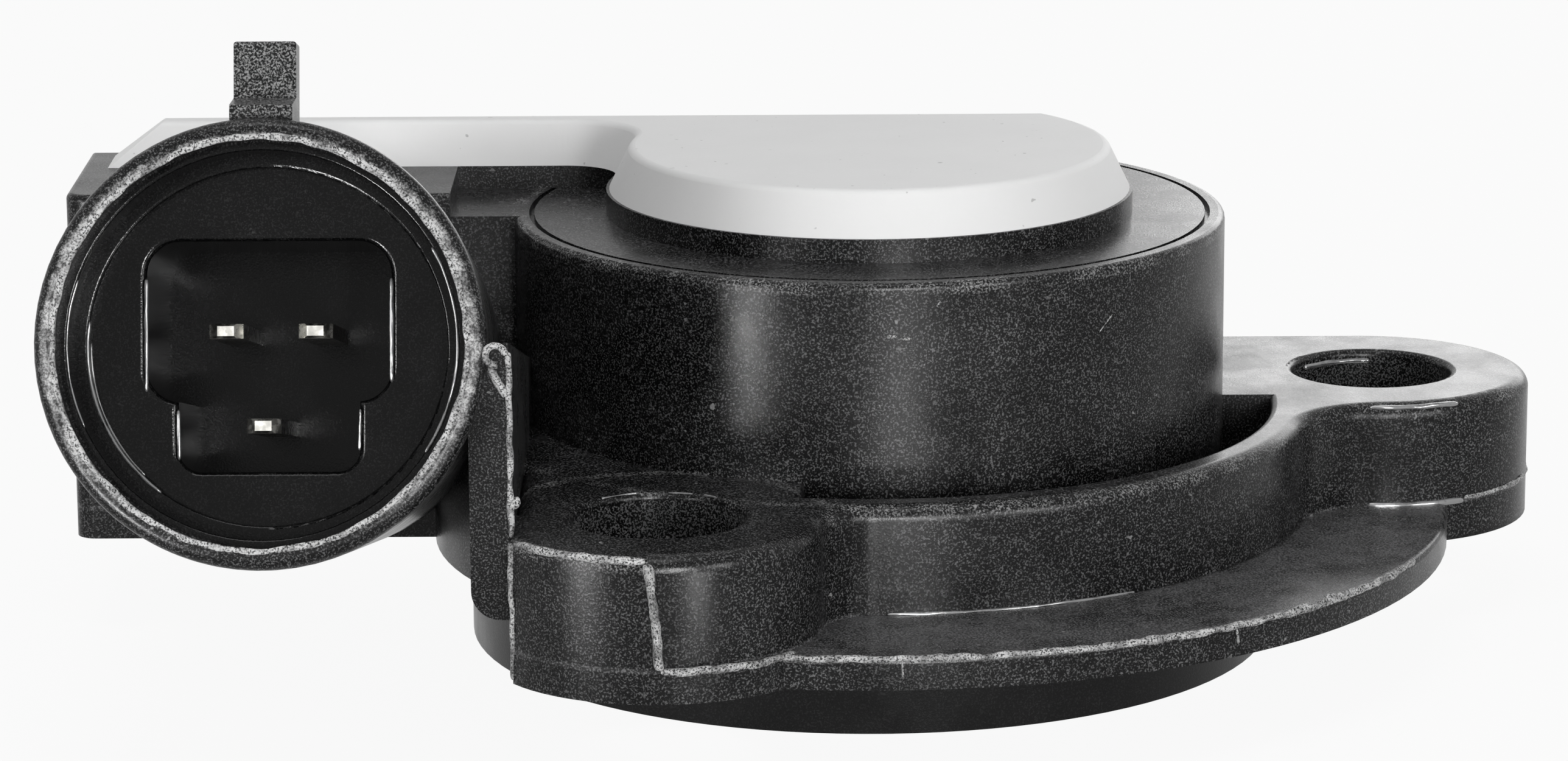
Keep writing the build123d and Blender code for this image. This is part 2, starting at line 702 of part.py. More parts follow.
# Wiper: a base on the rotor's disc and two pairs of spring fingers that reach up to the tracks
with BuildPart() as wiper_contact:
    base_z = rotor_disc_z + rotor_disc_thickness
    finger_top = track_z - wiper_gap
    with BuildSketch(Plane.XY.offset(base_z)):
        base_width = resistive_r - collector_r + 2 * finger_pitch
        with Locations((collector_r - finger_pitch, 0)):
            Rectangle(base_width, wiper_base_length, align=(Align.MIN, Align.MIN))
    extrude(amount=wiper_base_thickness)
    for track_r in (collector_r, resistive_r):
        for finger_x in (track_r - finger_pitch / 2, track_r + finger_pitch / 2):
            with BuildSketch(Plane.YZ.offset(finger_x)):
                with BuildLine():
                    root_top = base_z + wiper_base_thickness
                    Polyline(
                        (finger_thickness, root_top),
                        (-finger_length, finger_top),
                        (-finger_length - finger_tip, finger_top - finger_tip),
                        (-finger_length - finger_tip, finger_top - finger_tip - finger_thickness),
                        (-finger_length, finger_top - finger_thickness),
                        (finger_thickness, root_top - finger_thickness),
                        close=True,
                    )
                make_face()
            extrude(amount=finger_width / 2, both=True)
wiper_contact.part.label = "wiper_contact"
export_step(wiper_contact.part, "parts/wiper_contact.step")

# Return spring: a torsion coil with one leg between the posts and one up in the rotor's disc
with BuildPart() as return_spring:
    with BuildLine(Plane.XY.offset(coil_z)) as coil:
        Helix(spring_pitch, coil_height, coil_r)
    with BuildSketch(Plane(coil.line @ 0, x_dir=(1, 0, 0), z_dir=coil.line % 0)):
        RegularPolygon(wire / 2, wire_sides)
    sweep(is_frenet=True)
    with BuildSketch(Plane(coil.line @ 0, x_dir=(1, 0, 0), z_dir=(0, -1, 0))):
        Circle(wire / 2)
    extrude(amount=leg_length)
    leg_foot = coil.line @ 1
    with BuildSketch(Plane(leg_foot - Vector(0, 0, wire / 2))):
        Circle(wire / 2)
    extrude(amount=rotor_disc_z + rotor_disc_thickness - leg_foot.Z)
return_spring.part.label = "return_spring"
export_step(return_spring.part, "parts/return_spring.step")
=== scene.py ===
import json
import math

import bpy
from bpy.props import FloatProperty, FloatVectorProperty, PointerProperty
from bpy.types import Operator, Panel, PropertyGroup
from mathutils import Matrix, Vector

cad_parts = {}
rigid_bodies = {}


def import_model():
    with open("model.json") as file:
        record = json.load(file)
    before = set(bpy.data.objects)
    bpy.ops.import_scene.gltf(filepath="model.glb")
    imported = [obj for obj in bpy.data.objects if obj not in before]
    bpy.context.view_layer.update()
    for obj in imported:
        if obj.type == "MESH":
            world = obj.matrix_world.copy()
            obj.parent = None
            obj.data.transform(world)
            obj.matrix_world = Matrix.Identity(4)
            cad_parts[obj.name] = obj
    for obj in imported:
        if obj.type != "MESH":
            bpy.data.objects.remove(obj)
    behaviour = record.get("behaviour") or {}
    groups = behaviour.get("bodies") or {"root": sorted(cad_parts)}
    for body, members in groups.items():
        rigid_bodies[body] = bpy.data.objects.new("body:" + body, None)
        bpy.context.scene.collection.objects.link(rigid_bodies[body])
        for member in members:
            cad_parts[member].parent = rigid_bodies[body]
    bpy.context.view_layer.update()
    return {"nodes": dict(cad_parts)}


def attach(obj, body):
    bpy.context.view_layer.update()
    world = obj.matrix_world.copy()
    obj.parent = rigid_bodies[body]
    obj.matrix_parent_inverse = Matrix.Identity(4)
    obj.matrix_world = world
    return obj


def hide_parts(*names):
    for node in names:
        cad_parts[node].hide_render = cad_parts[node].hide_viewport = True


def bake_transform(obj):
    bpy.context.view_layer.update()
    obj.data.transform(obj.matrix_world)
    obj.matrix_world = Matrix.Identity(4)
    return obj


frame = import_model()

bl_info = {
    "name": "Throttle Position Sensor",
    "version": (1, 0, 0),
    "blender": (4, 5, 0),
    "location": "View3D > Sidebar > Sensor",
    "description": "Dresses the packed throttle position sensor with worn plastic, flash and a studio",
    "category": "Object",
}

MM = 0.001

# Places on the housing and its works, in millimetres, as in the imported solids
socket_mouth = Vector((-26.85, -26.4209, 19.9775))
socket_outward = Vector((0.0, -0.965926, 0.258819))
socket_across = Vector((0.0, 0.258819, 0.965926))
socket_lean = math.radians(75.0)
rotor_axis = Vector((0.0, 0.0, 0.0))
first_ear = Vector((-9.727, -22.159, 0.0))
second_ear = Vector((24.807, 5.454, 0.0))
first_ear_r = 7.7
second_ear_r = 7.7
body_r = 17.0
curb_r = 21.05
plate_r = 27.85
ledge_z = 6.1
ear_z = 11.1
rim_z = 20.4
plate_z = 4.6
web_right = -16.1
web_front = -26.1
web_top = 19.9
first_ear_corner_y = -26.48
hole_r = 3.9
burr_r = hole_r + 0.1
socket_floor = -4.6
shroud_r = 8.52
blade_tip = -5.6

sideways_axis = Vector((1.0, 0.0, 0.0))
depth_axis = Vector((0.0, 1.0, 0.0))
upright_axis = Vector((0.0, 0.0, 1.0))
# Where the lamps and cards point, in metres
aim = (0.0, 0.0, 0.012)
low_card_turn = math.radians(-43.0)
ring_r = 9.0
ring_section_r = 0.17
curl_axis = Vector((-16.65, -26.25, 19.35))


# Sizes and colours that a user would change


class PlasticLook(PropertyGroup):
    """The black moulding's finish"""

    colour: FloatVectorProperty(
        name="Black",
        description="Plastic between the worn places",
        subtype="COLOR",
        size=3,
        default=(0.0025, 0.0025, 0.0026),
    )
    # The speck colour is also the painted light on the walls of the ears' holes and part of the painted sheen on the
    # ledge.
    speck: FloatVectorProperty(
        name="Speck",
        description="Filler and dust in the surface",
        subtype="COLOR",
        size=3,
        default=(0.15, 0.15, 0.152),
    )
    # The worn colour also paints the highlights on the rounded upper edges.
    worn: FloatVectorProperty(
        name="Worn",
        description="Whitened plastic on edges and scuffs",
        subtype="COLOR",
        size=3,
        default=(0.56, 0.56, 0.56),
    )
    roughness: FloatProperty(name="Roughness", description="Satin level", default=0.27, min=0.1, max=1.0)
    grain: FloatProperty(
        name="Grain", description="Size of the glass-filled grain in mm", default=0.09, min=0.02, max=2.0
    )


class CoverLook(PropertyGroup):
    """The grey cover's finish"""

    colour: FloatVectorProperty(
        name="Grey", description="Cover plastic", subtype="COLOR", size=3, default=(0.76, 0.76, 0.76)
    )
    roughness: FloatProperty(name="Roughness", description="Satin level", default=0.6, min=0.1, max=1.0)


class FlashLook(PropertyGroup):
    """Whitened flash along the moulding's parting lines"""

    width: FloatProperty(
        name="Width", description="Width of a flash line in mm", default=0.4, min=0.05, max=2.0
    )
    ragged: FloatProperty(
        name="Ragged", description="Unevenness of a flash line in mm", default=0.12, min=0.0, max=0.5
    )
    step: FloatProperty(
        name="Step", description="Distance between sections in mm", default=0.42, min=0.1, max=5.0
    )


class StageLook(PropertyGroup):
    """Camera and studio light"""

    eye: FloatVectorProperty(
        name="Camera",
        description="Camera's place",
        subtype="TRANSLATION",
        size=3,
        default=(-0.00413, -0.259053, 0.073664),
    )
    elevation: FloatProperty(
        name="Elevation", description="Camera's downward look", subtype="ANGLE", default=math.radians(13.406)
    )
    roll: FloatProperty(
        name="Roll", description="Camera's roll", subtype="ANGLE", default=math.radians(-0.304)
    )
    lens: FloatProperty(name="Lens", description="Focal length in mm", default=126.573, min=10.0)
    left_power: FloatProperty(
        name="Left", description="Left lamp's power", unit="POWER", default=0.27, min=0.0
    )
    right_power: FloatProperty(
        name="Right", description="Right lamp's power", unit="POWER", default=0.28, min=0.0
    )
    front_power: FloatProperty(
        name="Front", description="Low front lamp's power", unit="POWER", default=0.14, min=0.0
    )
    rim_power: FloatProperty(name="Rim", description="Back lamp's power", unit="POWER", default=0.5, min=0.0)
    card_power: FloatProperty(
        name="Cards", description="Bright cards' power", unit="POWER", default=0.5, min=0.0
    )
    top_power: FloatProperty(
        name="Top", description="Overhead lamp's power", unit="POWER", default=0.76, min=0.0
    )


# Node helpers


def new_material(name):
    """A material with its output and one Principled shader, and the two nodes' tree."""
    material = bpy.data.materials.new(name)
    material.use_nodes = True
    tree = material.node_tree
    tree.nodes.clear()
    output = tree.nodes.new("ShaderNodeOutputMaterial")
    shader = tree.nodes.new("ShaderNodeBsdfPrincipled")
    tree.links.new(shader.outputs["BSDF"], output.inputs["Surface"])
    return material, tree, shader


def plug(tree, value, socket):
    """Links an output to a socket, or sets the socket to a plain value."""
    if isinstance(value, bpy.types.NodeSocket):
        tree.links.new(value, socket)
    else:
        socket.default_value = value


def millimetres(tree):
    """Object coordinates in millimetres."""
    place = tree.nodes.new("ShaderNodeTexCoord")
    scale = tree.nodes.new("ShaderNodeVectorMath")
    scale.operation = "SCALE"
    scale.inputs["Scale"].default_value = 1 / MM
    tree.links.new(place.outputs["Object"], scale.inputs[0])
    return scale.outputs["Vector"]


def noise(tree, place, size, detail=2.0, rough=0.5):
    """Noise with features of a given size in millimetres."""
    texture = tree.nodes.new("ShaderNodeTexNoise")
    texture.inputs["Scale"].default_value = 1 / size
    texture.inputs["Detail"].default_value = detail
    texture.inputs["Roughness"].default_value = rough
    tree.links.new(place, texture.inputs["Vector"])
    return texture.outputs["Fac"]


def remap(tree, value, low, high, to_low=0.0, to_high=1.0, smooth=True):
    """A value taken from one range to another, with its ends held."""
    mapper = tree.nodes.new("ShaderNodeMapRange")
    mapper.interpolation_type = "SMOOTHSTEP" if smooth else "LINEAR"
    mapper.clamp = True
    plug(tree, value, mapper.inputs["Value"])
    mapper.inputs["From Min"].default_value = low
    mapper.inputs["From Max"].default_value = high
    mapper.inputs["To Min"].default_value = to_low
    mapper.inputs["To Max"].default_value = to_high
    return mapper.outputs["Result"]


def maths(tree, operation, first, second=0.0):
    """One Math node."""
    node = tree.nodes.new("ShaderNodeMath")
    node.operation = operation
    plug(tree, first, node.inputs[0])
    plug(tree, second, node.inputs[1])
    return node.outputs["Value"]


def blend_colours(tree, factor, first, second):
    """Two colours mixed by a factor."""
    mixer = tree.nodes.new("ShaderNodeMix")
    mixer.data_type = "RGBA"
    plug(tree, factor, mixer.inputs["Factor"])
    plug(tree, first, mixer.inputs["A"])
    plug(tree, second, mixer.inputs["B"])
    return mixer.outputs["Result"]


def bump(tree, height, strength, distance):
    """A bump from a height, with its depth in metres."""
    node = tree.nodes.new("ShaderNodeBump")
    node.inputs["Strength"].default_value = strength
    node.inputs["Distance"].default_value = distance
    tree.links.new(height, node.inputs["Height"])
    return node.outputs["Normal"]


def rgba(colour):
    """A colour with full alpha."""
    return (*colour, 1.0)


def dress(names, material):
    """Gives CAD nodes a material in all their slots."""
    for name in names:
        slots = frame["nodes"][name].data.materials
        slots.clear()
        slots.append(material)


# Materials


def measure(tree, place, origin, *directions):
    """Distances of a place from an origin along some directions."""
    offset = tree.nodes.new("ShaderNodeVectorMath")
    offset.operation = "SUBTRACT"
    tree.links.new(place, offset.inputs[0])
    offset.inputs[1].default_value = origin
    found = []
    for direction in directions:
        along = tree.nodes.new("ShaderNodeVectorMath")
        along.operation = "DOT_PRODUCT"
        tree.links.new(offset.outputs["Vector"], along.inputs[0])
        along.inputs[1].default_value = direction
        found.append(along.outputs["Value"])
    return found


def multiply(tree, *values):
    """Product of some values."""
    product = values[0]
    for value in values[1:]:
        product = maths(tree, "MULTIPLY", product, value)
    return product


def hypotenuse(tree, first, second):
    """Length of two sides at right angles."""
    return maths(tree, "SQRT", maths(tree, "ADD", multiply(tree, first, first), multiply(tree, second, second)))


def near_rim(tree, place, sideways, upwards, outwards):
    """Wear on the socket's rim, broad at its sides and narrow above and below."""
    raised = maths(tree, "SUBTRACT", upwards, 0.1)
    reach = hypotenuse(tree, sideways, maths(tree, "MULTIPLY", raised, 1.052))
    ragged = maths(tree, "MULTIPLY", noise(tree, place, 1.1, detail=6.0, rough=0.75), 1.3)
    edge = remap(tree, maths(tree, "ADD", reach, ragged), 9.95, 10.3, 1.0, 0.0)
    patches = remap(tree, noise(tree, place, 0.9, detail=5.0, rough=0.7), 0.36, 0.6, 0.12, 1.0)
    return multiply(tree, edge, remap(tree, outwards, -0.4, -0.15), patches)


def in_socket(tree, sideways, upwards, outwards):
    """1 on the surfaces down in the socket, which get a glossier finish and painted shade, 0 elsewhere."""
    inside = remap(tree, hypotenuse(tree, sideways, upwards), 8.8, 8.95, 1.0, 0.0)
    below_mouth = remap(tree, outwards, -0.3, -0.1, 1.0, 0.0)
    before_back = remap(tree, outwards, -15.5, -15.0)
    return multiply(tree, inside, below_mouth, before_back)


def on_tab(tree, upwards, outwards):
    """1 on the lock tab over the socket, 0 elsewhere."""
    return maths(tree, "MULTIPLY", remap(tree, upwards, 9.8, 10.1), remap(tree, outwards, -7.0, -6.0))


def round_axis(tree, place, centre):
    """Distance from an upright axis, and height."""
    across, along, height = measure(tree, place, centre, sideways_axis, depth_axis, upright_axis)
    return hypotenuse(tree, across, along), height


def on_ledge(tree, reach, height):
    """1 on the ledge of the base plate, where dust and a painted sheen are laid, 0 elsewhere."""
    outside = remap(tree, reach, curb_r, curb_r + 0.3)
    return multiply(tree, outside, remap(tree, height, 5.95, 6.05), remap(tree, height, 6.15, 6.3, 1.0, 0.0))


def on_edge(tree, reach, height, radius, top):
    """1 along a rounded upper edge of a given radius, 0 elsewhere."""
    overhang = maths(tree, "ADD", reach, maths(tree, "SUBTRACT", height, radius + top))
    above = remap(tree, height, top - 0.8, top - 0.6)
    below = remap(tree, height, top + 0.05, top + 0.15, 1.0, 0.0)
    within = remap(tree, reach, radius + 0.05, radius + 0.15, 1.0, 0.0)
    return multiply(tree, remap(tree, overhang, -0.66, -0.42), multiply(tree, above, below), within)


def in_hole(tree, reach, height):
    """1 on the wall of an ear's hole, 0 elsewhere."""
    inside = remap(tree, reach, 4.0, 4.2, 1.0, 0.0)
    return maths(tree, "MULTIPLY", inside, remap(tree, height, ear_z - 0.6, ear_z - 0.3, 1.0, 0.0))


def black_plastic():
    """Worn, glass-filled black plastic."""
    look = bpy.context.scene.sensor_plastic
    material, tree, shader = new_material("black_plastic")
    place = millimetres(tree)
    sideways, upwards, outwards = measure(
        tree, place, socket_mouth, sideways_axis, socket_across, socket_outward
    )
    grain = noise(tree, place, look.grain, detail=2.0, rough=0.6)
    mottle = noise(tree, place, 3.2, detail=5.0, rough=0.6)
    flecks = remap(tree, noise(tree, place, 0.33, detail=1.0), 0.735, 0.775)
    socket_shade_and_polish = in_socket(tree, sideways, upwards, outwards)
    reach, height = round_axis(tree, place, rotor_axis)
    first_reach, _ = round_axis(tree, place, first_ear)
    second_reach, _ = round_axis(tree, place, second_ear)
    # Painted shade: the socket's inside and the part below about 4.3 mm, under the base plate, lose their specks and
    # dust flecks and render near black.
    black = maths(tree, "MAXIMUM", socket_shade_and_polish, remap(tree, height, 4.1, 4.5, 1.0, 0.0))
    outside_painted_shade = maths(tree, "SUBTRACT", 1.0, maths(tree, "MULTIPLY", black, 0.9))
    patches = remap(tree, mottle, 0.3, 0.7, 0.45, 1.05, smooth=False)
    clouds = remap(tree, mottle, 0.35, 0.65, 0.25, 1.0)
    grit = remap(tree, grain, 0.4, 0.64, 0.2, 0.9)
    # The ledge gets pale clouds, partly dust and partly a painted sheen for the reflection on it.
    ledge_dust_and_painted_sheen = multiply(tree, on_ledge(tree, reach, height), multiply(tree, clouds, grit))
    # Painted light: the walls of the ears' holes get up to five times the specks, so that they look lit.
    holes = maths(tree, "MAXIMUM", in_hole(tree, first_reach, height), in_hole(tree, second_reach, height))
    painted_light_in_holes = maths(tree, "ADD", 1.0, multiply(tree, holes, 4.0))
    speckle_and_painted_light = multiply(tree, remap(tree, grain, 0.5, 0.66), patches, outside_painted_shade, painted_light_in_holes)
    speckle_dust_and_painted_light = maths(tree, "ADD", speckle_and_painted_light, ledge_dust_and_painted_sheen)
    base = blend_colours(tree, speckle_dust_and_painted_light, rgba(look.colour), rgba(look.speck))
    dust = multiply(tree, flecks, remap(tree, mottle, 0.45, 0.62), outside_painted_shade, 0.4)
    stipple = remap(tree, grain, 0.36, 0.58, 0.25, 1.0)
    # Painted highlight: the rounded upper edges of the curb, the body's top and both ears take the worn colour in
    # patches, where they catch the light.
    painted_curb_highlight = on_edge(tree, reach, height, curb_r, ear_z)
    painted_body_top_highlight = on_edge(tree, reach, height, body_r, rim_z)
    edges = maths(tree, "ADD", painted_curb_highlight, painted_body_top_highlight)
    for ear_reach, radius in ((first_reach, first_ear_r), (second_reach, second_ear_r)):
        edges = maths(tree, "ADD", edges, on_edge(tree, ear_reach, height, radius, ear_z))
    fine = remap(tree, grain, 0.44, 0.62)
    bright = remap(tree, noise(tree, place, 2.2, detail=4.0, rough=0.65), 0.4, 0.64, 0.04, 0.32)
    pale_patches = multiply(tree, maths(tree, "MINIMUM", edges, 1.0), fine, bright)
    speckled_tab = multiply(tree, on_tab(tree, upwards, outwards), fine, 0.34)
    rim = multiply(tree, near_rim(tree, place, sideways, upwards, outwards), stipple)
    marked = maths(tree, "MAXIMUM", dust, rim)
    # The worn colour covers dust flecks, the socket rim's worn band, the tab's specks and the painted edge
    # highlights.
    wear_and_painted_highlight = maths(tree, "MAXIMUM", marked, maths(tree, "MAXIMUM", pale_patches, speckled_tab))
    tree.links.new(blend_colours(tree, wear_and_painted_highlight, base, rgba(look.worn)), shader.inputs["Base Color"])
    roughness = remap(tree, mottle, 0.3, 0.7, look.roughness - 0.04, look.roughness + 0.07, smooth=False)
    polished = maths(tree, "SUBTRACT", roughness, maths(tree, "MULTIPLY", socket_shade_and_polish, 0.14))
    dulled = maths(tree, "ADD", polished, maths(tree, "MULTIPLY", wear_and_painted_highlight, 0.25))
    tree.links.new(dulled, shader.inputs["Roughness"])
    shader.inputs["Specular IOR Level"].default_value = 0.14
    tree.links.new(bump(tree, grain, 0.25, 0.00003), shader.inputs["Normal"])
    return material


def grey_plastic():
    """Light grey plastic of the cover, a little mottled."""
    look = bpy.context.scene.sensor_cover
    material, tree, shader = new_material("grey_plastic")
    place = millimetres(tree)
    mottle = noise(tree, place, 4.0, detail=4.0)
    grain = noise(tree, place, 0.2, detail=2.0)
    shade = remap(tree, mottle, 0.3, 0.7, 0.985, 1.01, smooth=False)
    base = tree.nodes.new("ShaderNodeVectorMath")
    base.operation = "SCALE"
    base.inputs[0].default_value = look.colour
    tree.links.new(shade, base.inputs["Scale"])
    marks = remap(tree, noise(tree, place, 0.45, detail=1.0), 0.76, 0.8, 0.0, 0.5)
    marked = blend_colours(tree, marks, base.outputs["Vector"], (0.2, 0.2, 0.2, 1.0))
    tree.links.new(marked, shader.inputs["Base Color"])
    satin = remap(tree, grain, 0.3, 0.7, look.roughness - 0.04, look.roughness + 0.06)
    tree.links.new(satin, shader.inputs["Roughness"])
    shader.inputs["Specular IOR Level"].default_value = 0.25
    tree.links.new(bump(tree, grain, 0.2, 0.00002), shader.inputs["Normal"])
    return material


def metal(name, colour, roughness, painted_shade_from=None):
    """A drawn or plated metal with fine streaks and tarnish, darkened with painted shade past a depth in the socket
    where one is given.
    """
    material, tree, shader = new_material(name)
    place = millimetres(tree)
    streaks = noise(tree, place, 0.4, detail=4.0)
    tarnish = remap(tree, noise(tree, place, 1.6, detail=3.0), 0.4, 0.75)
    darker = tuple((0.6 if painted_shade_from is None else 0.12) * c for c in colour)
    if painted_shade_from is not None:
        # Painted shade: past the given depth in the socket the blade goes to 0.12 of its colour, as if unlit.
        (depth,) = measure(tree, place, socket_mouth, socket_outward)
        behind = remap(tree, depth, painted_shade_from - 0.5, painted_shade_from, 1.0, 0.0)
        tarnish = maths(tree, "MAXIMUM", maths(tree, "MULTIPLY", tarnish, 0.4), behind)
    tree.links.new(blend_colours(tree, tarnish, rgba(colour), rgba(darker)), shader.inputs["Base Color"])
    brushed = remap(tree, streaks, 0.3, 0.7, roughness - 0.08, roughness + 0.1)
    tree.links.new(brushed, shader.inputs["Roughness"])
    shader.inputs["Metallic"].default_value = 1.0
    return material


def moulded(name, colour, roughness):
    """A plain moulded or printed surface with slight mottling."""
    material, tree, shader = new_material(name)
    place = millimetres(tree)
    mottle = noise(tree, place, 2.5, detail=4.0)
    grain = noise(tree, place, 0.15, detail=2.0)
    darker = tuple(0.8 * c for c in colour)
    tree.links.new(blend_colours(tree, mottle, rgba(colour), rgba(darker)), shader.inputs["Base Color"])
    satin = remap(tree, mottle, 0.3, 0.7, roughness - 0.06, roughness + 0.08)
    tree.links.new(satin, shader.inputs["Roughness"])
    tree.links.new(bump(tree, grain, 0.2, 0.00002), shader.inputs["Normal"])
    return material


def worn_plastic():
    """Whitened plastic of flash and worn edges, stippled with black."""
    look = bpy.context.scene.sensor_plastic
    material, tree, shader = new_material("worn_plastic")
    place = millimetres(tree)
    pale_patches = remap(tree, noise(tree, place, 0.9, detail=5.0, rough=0.7), 0.34, 0.6, 0.3, 1.0)
    stipple = remap(tree, noise(tree, place, look.grain, detail=2.0, rough=0.6), 0.36, 0.56)
    pale = multiply(tree, pale_patches, stipple)
    tree.links.new(blend_colours(tree, pale, rgba(look.colour), rgba(look.worn)), shader.inputs["Base Color"])
    tree.links.new(remap(tree, pale_patches, 0.0, 1.0, 0.4, 0.65), shader.inputs["Roughness"])
    shader.inputs["Specular IOR Level"].default_value = 0.25
    return material


def polished_edge():
    """Rounded edges polished by the mould, black and glossy, so that lamps glint along them."""
    look = bpy.context.scene.sensor_plastic
    material, tree, shader = new_material("polished_edge")
    place = millimetres(tree)
    broken = remap(tree, noise(tree, place, 1.1, detail=5.0, rough=0.7), 0.34, 0.52)
    base = blend_colours(tree, broken, rgba(look.colour), rgba(look.speck))
    tree.links.new(base, shader.inputs["Base Color"])
    tree.links.new(remap(tree, broken, 0.0, 1.0, 0.3, 0.14), shader.inputs["Roughness"])
    shader.inputs["Specular IOR Level"].default_value = 1.0
    shader.inputs["Coat Weight"].default_value = 1.0
    shader.inputs["Coat Roughness"].default_value = 0.1
    return material


# Flash: a small section drawn along a parting line, then roughened


def start_section(name, radius, place, turn):
    """A small six-sided face across the start of a flash line, left selected in edit mode."""
    bpy.ops.object.select_all(action="DESELECT")
    bpy.ops.mesh.primitive_circle_add(
        vertices=6, radius=radius * MM, fill_type="NGON", location=Vector(place) * MM, rotation=turn
    )
    piece = bpy.context.object
    piece.name = name
    bpy.ops.object.transform_apply(location=True, rotation=True, scale=True)
    bpy.ops.object.mode_set(mode="EDIT")
    bpy.ops.mesh.select_all(action="SELECT")
    return piece


def roughen(seed, amount):
    """Makes a drawn section uneven and leaves edit mode, with its faces outwards."""
    bpy.ops.mesh.select_all(action="SELECT")
    bpy.ops.transform.vertex_random(offset=amount * MM, uniform=1.0, normal=0.0, seed=seed)
    bpy.ops.mesh.normals_make_consistent(inside=False)
    bpy.ops.object.mode_set(mode="OBJECT")


def arc_flash(name, centre, radius, z, start, end, width, seed, ragged=1.0):
    """A flash line along an arc about an upright axis, between two angles in degrees."""
    look = bpy.context.scene.sensor_flash
    turn = math.radians(start)
    sweep = math.radians(end - start)
    first = (centre.x + radius * math.cos(turn), centre.y + radius * math.sin(turn), z)
    piece = start_section(name, width / 2, first, (math.pi / 2, 0.0, turn))
    steps = max(2, round(radius * abs(sweep) / look.step))
    middle = Vector((centre.x, centre.y, z)) * MM
    bpy.ops.mesh.spin(steps=steps, angle=-sweep, center=middle, axis=upright_axis)
    roughen(seed, ragged * min(look.ragged, 0.32 * width))
    return piece


def straight_flash(name, first, last, width, seed, ragged=1.0):
    """A flash line between two points."""
    look = bpy.context.scene.sensor_flash
    reach = Vector(last) - Vector(first)
    turn = reach.to_track_quat("Z", "Y").to_euler()
    piece = start_section(name, width / 2, first, turn)
    steps = max(2, round(reach.length / look.step))
    for _ in range(steps):
        bpy.ops.mesh.extrude_region_move(TRANSFORM_OT_translate={"value": reach * MM / steps})
    roughen(seed, ragged * min(look.ragged, 0.32 * width))
    return piece


def join_flash(name, pieces, finish="worn_plastic"):
    """Joins flash lines into one softened piece that moves with the housing."""
    bpy.ops.object.select_all(action="DESELECT")
    for piece in pieces:
        piece.select_set(True)
    bpy.context.view_layer.objects.active = pieces[0]
    if len(pieces) > 1:
        bpy.ops.object.join()
    piece = bpy.context.object
    piece.name = name
    piece.data.name = name
    soften = piece.modifiers.new("soften", "SUBSURF")
    soften.levels = 1
    soften.render_levels = 1
    bpy.ops.object.modifier_apply(modifier="soften")
    bpy.ops.object.shade_smooth()
    piece.data.materials.append(bpy.data.materials[finish])
    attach(piece, "sensor_body")


# Operators


class SENSOR_OT_housing(Operator):
    """Dress the housing in worn black plastic"""

    bl_idname = "sensor.housing"
    bl_label = "Housing"

    def execute(self, context):
        dress(["housing"], black_plastic())
        worn_plastic()
        polished_edge()
        return {"FINISHED"}


class SENSOR_OT_ear_flash(Operator):
    """Model the flash round the first ear, along the base plate and under the second ear"""

    bl_idname = "sensor.ear_flash"
    bl_label = "Ear flash"

    def execute(self, context):
        width = context.scene.sensor_flash.width
        step_top = (-10.04, -29.85, ear_z - 0.1)
        step_foot = (-9.57, -29.85, ledge_z)
        join_flash(
            "ear_flash",
            [
                arc_flash("ear_top", first_ear, first_ear_r - 0.08, ear_z - 0.06, 214.5, 267.7, width, 1),
                straight_flash("ear_step", step_top, step_foot, 1.4 * width, 2),
                arc_flash("ear_foot", first_ear, first_ear_r - 0.06, ledge_z - 0.06, 271.0, 322.0, width, 3),
                arc_flash("plate_front", rotor_axis, plate_r - 0.12, ledge_z - 0.12, -99.2, -25.0, width, 4),
                arc_flash(
                    "second_ear_line", second_ear, second_ear_r - 0.04, ledge_z + 0.12, -60.0, 20.0, 0.8 * width, 5
                ),
                arc_flash("plate_blob", rotor_axis, plate_r - 0.15, ledge_z - 0.05, -43.0, -41.2, 1.5 * width, 6),
                straight_flash("tick_left", (0.97, -27.83, 6.0), (1.02, -27.83, 5.0), 0.16, 7),
                straight_flash("tick_right", (15.95, -22.82, 6.0), (16.05, -22.77, 5.1), 0.16, 8),
            ],
        )
        return {"FINISHED"}


class SENSOR_OT_foot_bead(Operator):
    """Model the polished beads at the foot of the curb and along the second ear"""

    bl_idname = "sensor.foot_bead"
    bl_label = "Foot bead"

    def execute(self, context):
        join_flash(
            "foot_bead",
            [
                arc_flash("curb_foot", rotor_axis, curb_r + 0.03, ledge_z + 0.03, -89.0, -56.0, 0.2, 41, 0.4),
                arc_flash(
                    "second_ear_foot", second_ear, second_ear_r + 0.05, ledge_z + 0.02, -97.0, -60.0, 0.4, 42, 0.3
                ),
                arc_flash("second_ear_top", second_ear, second_ear_r - 0.2, ear_z - 0.2, -97.0, -62.0, 0.3, 43, 0.5),
            ],
            "polished_edge",
        )
        return {"FINISHED"}


